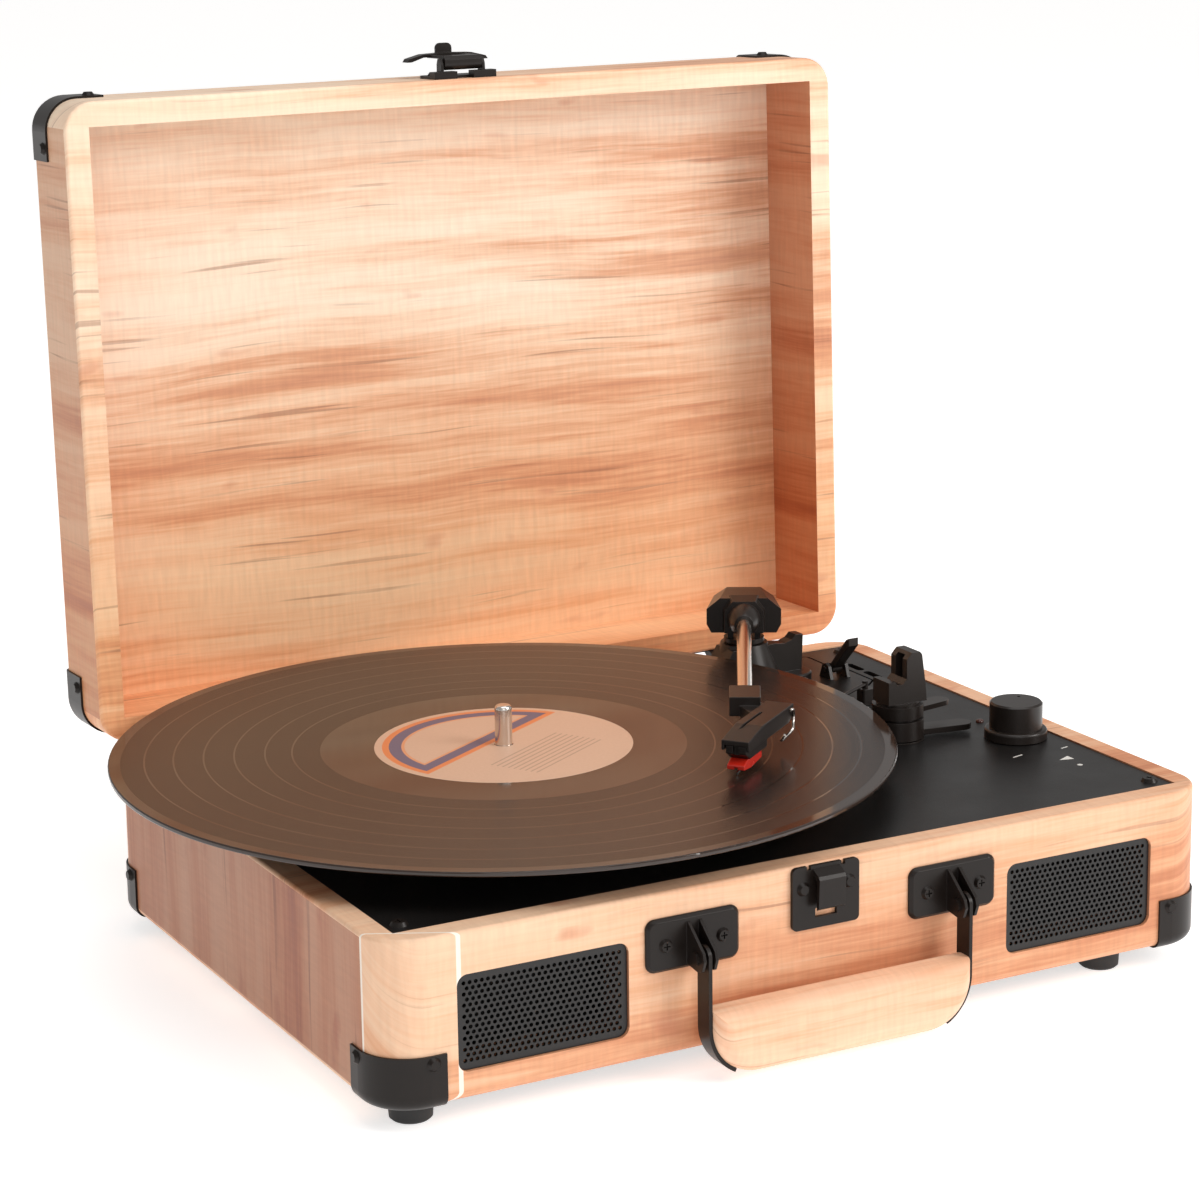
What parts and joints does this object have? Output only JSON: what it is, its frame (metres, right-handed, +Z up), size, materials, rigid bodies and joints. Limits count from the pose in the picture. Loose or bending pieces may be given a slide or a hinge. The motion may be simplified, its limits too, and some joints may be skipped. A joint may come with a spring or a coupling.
{
  "type": "portable suitcase record player",
  "caption": "Wood-look suitcase record player with its lid open, a record on the platter, swinging tonearm, front speaker grilles, latch, metal corners and folding carry handle.",
  "frame": {"origin": "on the surface the feet stand on, below the centre of the case in plan", "axes": "+X to the user's right, +Y from the front to the hinges, +Z up along the spindle"},
  "size_m": [0.3818, 0.3324, 0.3397],
  "materials": {
    "wood_wrap": "satin",
    "black_board": "matte",
    "deck_black": "fine texture",
    "grille_black": "satin",
    "speaker_black": "matte",
    "hardware_dark": "satin",
    "screw_steel": "satin",
    "foot_rubber": "matte",
    "platter_black": "satin",
    "mat_felt": "matte",
    "vinyl": "gloss",
    "spindle_steel": "polished",
    "bearing_brass": "satin",
    "motor_steel": "satin",
    "pulley_brass": "satin",
    "belt_rubber": "matte",
    "arm_plastic": "satin",
    "arm_tube_chrome": "polished",
    "stylus_red": "gloss",
    "stylus_steel": "polished",
    "knob_black": "satin",
    "led_lens": "gloss",
    "board_green": "satin"
  },
  "bodies": {
    "case": {"base_walls": "wood_wrap", "base_bottom": "black_board", "deck_plate": "deck_black", "mechanism_plate": "deck_black", "deck_screws": "hardware_dark", "speaker_grille_left": "grille_black", "speaker_grille_right": "grille_black", "speaker_driver_left": "speaker_black", "speaker_driver_right": "speaker_black", "base_corner_guards": "hardware_dark", "base_nails": "hardware_dark", "feet": "foot_rubber", "foot_screws": "screw_steel", "handle_plate_left": "hardware_dark", "handle_plate_right": "hardware_dark", "base_screws": "hardware_dark", "handle_rivets": "screw_steel", "latch_keeper": "hardware_dark", "hinge_base_leaves": "hardware_dark", "hinge_pins": "screw_steel", "platter_bearing": "bearing_brass", "drive_motor": "motor_steel", "drive_belt": "belt_rubber", "tonearm_stand": "arm_plastic", "arm_rest": "arm_plastic", "cue_brackets": "arm_plastic", "volume_pot": "motor_steel", "power_led": "led_lens", "circuit_board": "board_green", "jack_plate": "speaker_black"},
    "lid": {"lid_walls": "wood_wrap", "lid_panel": "wood_wrap", "lid_corner_guards": "hardware_dark", "lid_nails": "hardware_dark", "latch_plate": "hardware_dark", "latch_pin": "screw_steel", "hinge_lid_leaves": "hardware_dark", "hinge_lid_screws": "screw_steel"},
    "latch": {"latch_lever": "hardware_dark"},
    "turntable": {"platter": "platter_black", "platter_mat": "mat_felt", "record": "vinyl", "spindle": "spindle_steel"},
    "drive_pulley": {"motor_pulley": "pulley_brass"},
    "tonearm_swivel": {"tonearm_yoke": "arm_plastic"},
    "tonearm": {"tonearm_housing": "arm_plastic", "tonearm_tube": "arm_tube_chrome", "headshell": "arm_plastic", "cartridge": "speaker_black", "stylus_holder": "stylus_red", "stylus": "stylus_steel", "finger_lift": "arm_tube_chrome"},
    "cueing_lever": {"cue_lever": "arm_plastic"},
    "cueing_bar": {"cue_lift_bar": "arm_plastic"},
    "volume_control": {"volume_knob": "knob_black"},
    "speed_selector": {"speed_lever": "arm_plastic"},
    "auto_stop_selector": {"auto_stop_lever": "arm_plastic"},
    "carry_handle": {"handle_strap_left": "hardware_dark", "handle_strap_right": "hardware_dark", "handle_grip": "wood_wrap"}
  },
  "joints": [
    {"name": "lid_hinge", "type": "hinge", "parent": "case", "child": "lid", "pos_m": [0, 0.133, 0.066], "axis": [1, 0, 0], "range_deg": [0, 3.5]},
    {"name": "latch_swing", "type": "hinge", "parent": "lid", "child": "latch", "pos_m": [0, 0.15332, 0.33275], "axis": [1, 0, 0], "range_deg": [0, 110]},
    {"name": "platter_spin", "type": "hinge", "parent": "case", "child": "turntable", "pos_m": [-0.0546, 0.0162, 0.07], "axis": [0, 0, 1], "continuous": true},
    {"name": "pulley_spin", "type": "hinge", "parent": "case", "child": "drive_pulley", "pos_m": [-0.1146, -0.0258, 0.07], "axis": [0, 0, 1], "continuous": true},
    {"name": "arm_swing", "type": "hinge", "parent": "case", "child": "tonearm_swivel", "pos_m": [0.098, 0.092, 0.087], "axis": [0, 0, 1], "range_deg": [-15.5, 33.6]},
    {"name": "arm_lift", "type": "hinge", "parent": "tonearm_swivel", "child": "tonearm", "pos_m": [0.098, 0.092, 0.0995], "axis": [-0.8607, 0.509, 0], "range_deg": [0, 12]},
    {"name": "cue_tilt", "type": "hinge", "parent": "case", "child": "cueing_lever", "pos_m": [0.135, 0.078, 0.0735], "axis": [1, 0, 0], "range_deg": [-75, 0]},
    {"name": "cue_rise", "type": "slide", "parent": "case", "child": "cueing_bar", "axis": [0, 0, 1], "range_m": [0, 0.008]},
    {"name": "volume_turn", "type": "hinge", "parent": "case", "child": "volume_control", "pos_m": [0.1483, -0.036, 0.07], "axis": [0, 0, 1], "range_deg": [-270, 0]},
    {"name": "speed_turn", "type": "hinge", "parent": "case", "child": "speed_selector", "pos_m": [0.107, -0.013, 0.0745], "axis": [0, 0, 1], "range_deg": [0, 30]},
    {"name": "auto_stop_turn", "type": "hinge", "parent": "case", "child": "auto_stop_selector", "pos_m": [0.107, -0.013, 0.082], "axis": [0, 0, 1], "range_deg": [0, 25]},
    {"name": "handle_swing", "type": "hinge", "parent": "case", "child": "carry_handle", "pos_m": [0, -0.137, 0.047], "axis": [-1, 0, 0], "range_deg": [0, 105]}
  ],
  "couplings": [
    {"joint": "pulley_spin", "follows": "platter_spin", "ratio": 10.5},
    {"joint": "cue_rise", "follows": "cue_tilt", "m_per_rad": -0.0061}
  ]
}
